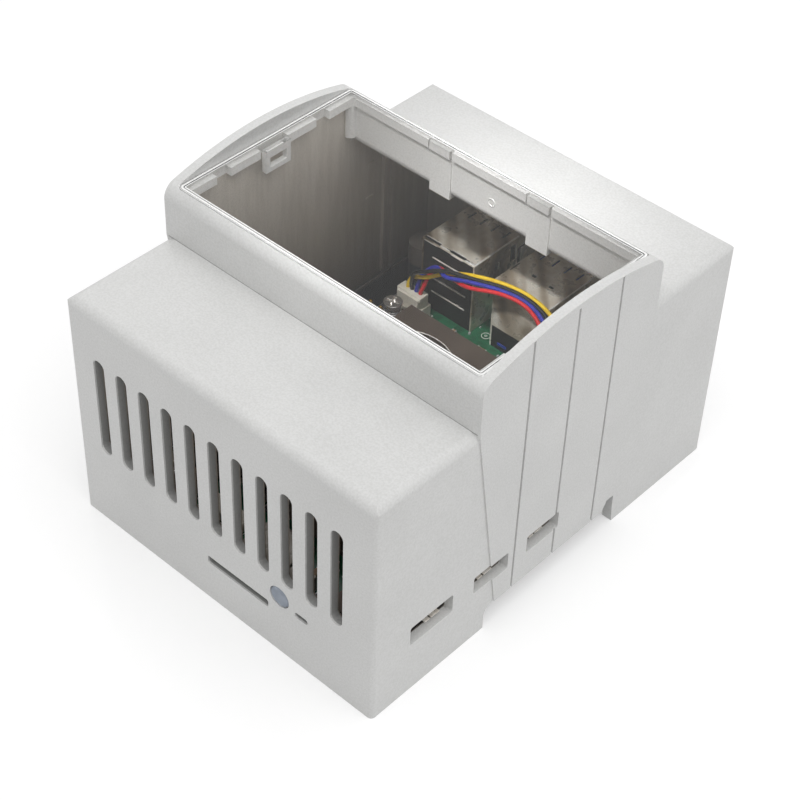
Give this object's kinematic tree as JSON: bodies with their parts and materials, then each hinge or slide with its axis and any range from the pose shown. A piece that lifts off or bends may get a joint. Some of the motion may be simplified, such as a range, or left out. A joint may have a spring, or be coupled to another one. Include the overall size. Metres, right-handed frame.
{
  "type": "din rail enclosure",
  "caption": "Light grey rail-mounted case with a clear window, vent slots and port cut-outs, holding a small computer board with a fan cooler.",
  "frame": {"origin": "centre of the outline, at the level of the underside", "axes": "+X along the rail towards the port wall, +Y away from the vented face, +Z away from the rail"},
  "size_m": [0.0716, 0.0904, 0.0625],
  "materials": {
    "body_plastic": "light grey moulded plastic, fine grain",
    "tray_plastic": "light grey moulded plastic",
    "clear_plastic": "clear moulded plastic",
    "button_plastic": "frosted translucent plastic",
    "clip_plastic": "black moulded plastic",
    "spring_steel": "bright spring steel",
    "screw_steel": "nickel plated steel",
    "circuit_board": "green solder mask",
    "chip_black": "black moulded package",
    "chip_metal": "plated steel cap",
    "socket_nickel": "warm nickel plated sheet",
    "insert_black": "black moulded plastic",
    "insert_blue": "blue moulded plastic",
    "pin_gold": "gold plated pins",
    "connector_cream": "natural nylon",
    "cooler_metal": "dark anodised aluminium",
    "fan_black": "black moulded plastic",
    "wire_yellow": "yellow wire insulation",
    "wire_black": "black wire insulation",
    "wire_blue": "blue wire insulation",
    "wire_red": "red wire insulation"
  },
  "bodies": {
    "case": {"upper_shell": "body_plastic", "base_shell": "tray_plastic", "rail_clip_spring": "spring_steel", "shell_screws": "screw_steel", "computer_board": "circuit_board", "processor": "chip_metal", "memory_chip": "chip_black", "io_chip": "chip_black", "power_chip": "chip_black", "radio_module": "chip_metal", "usb_shell_left": "socket_nickel", "usb_insert_left": "insert_black", "usb_shell_right": "socket_nickel", "usb_insert_right": "insert_blue", "network_jack": "socket_nickel", "network_insert": "insert_black", "usb_c_shell": "socket_nickel", "usb_c_tongue": "insert_black", "hdmi_shell_front": "socket_nickel", "hdmi_shell_rear": "socket_nickel", "hdmi_tongues": "insert_black", "header_block": "insert_black", "header_pins": "pin_gold", "camera_socket": "insert_black", "expansion_socket": "connector_cream", "card_socket": "chip_metal", "push_switch": "chip_metal", "status_light": "connector_cream", "fan_socket": "connector_cream", "fan_plug": "connector_cream", "heatsink": "cooler_metal", "fan_stator": "fan_black", "cooler_screws": "screw_steel", "cooler_springs": "spring_steel", "wire_yellow": "wire_yellow", "wire_black": "wire_black", "wire_blue": "wire_blue", "wire_red": "wire_red"},
    "lid": {"window_lid": "clear_plastic"},
    "button": {"power_button": "button_plastic", "switch_plunger": "insert_black"},
    "clip": {"rail_clip": "clip_plastic"},
    "fan": {"fan_rotor": "fan_black"}
  },
  "joints": [
    {"name": "lid_lift", "type": "slide", "parent": "case", "child": "lid", "axis": [0, 0, 1], "range_m": [0, 0.016]},
    {"name": "button_press", "type": "slide", "parent": "case", "child": "button", "axis": [0, 1, 0], "range_m": [0, 0.0006], "stiffness_N_per_m": 600, "springref_m": -0.0005},
    {"name": "clip_pull", "type": "slide", "parent": "case", "child": "clip", "axis": [0, 1, 0], "range_m": [0, 0.0025], "stiffness_N_per_m": 1500, "springref_m": -0.0015, "deforming": ["rail_clip_spring"]},
    {"name": "fan_spin", "type": "hinge", "parent": "case", "child": "fan", "pos_m": [-0.0072, 0.0077, 0.0164], "axis": [0, 0, 1], "continuous": true}
  ]
}
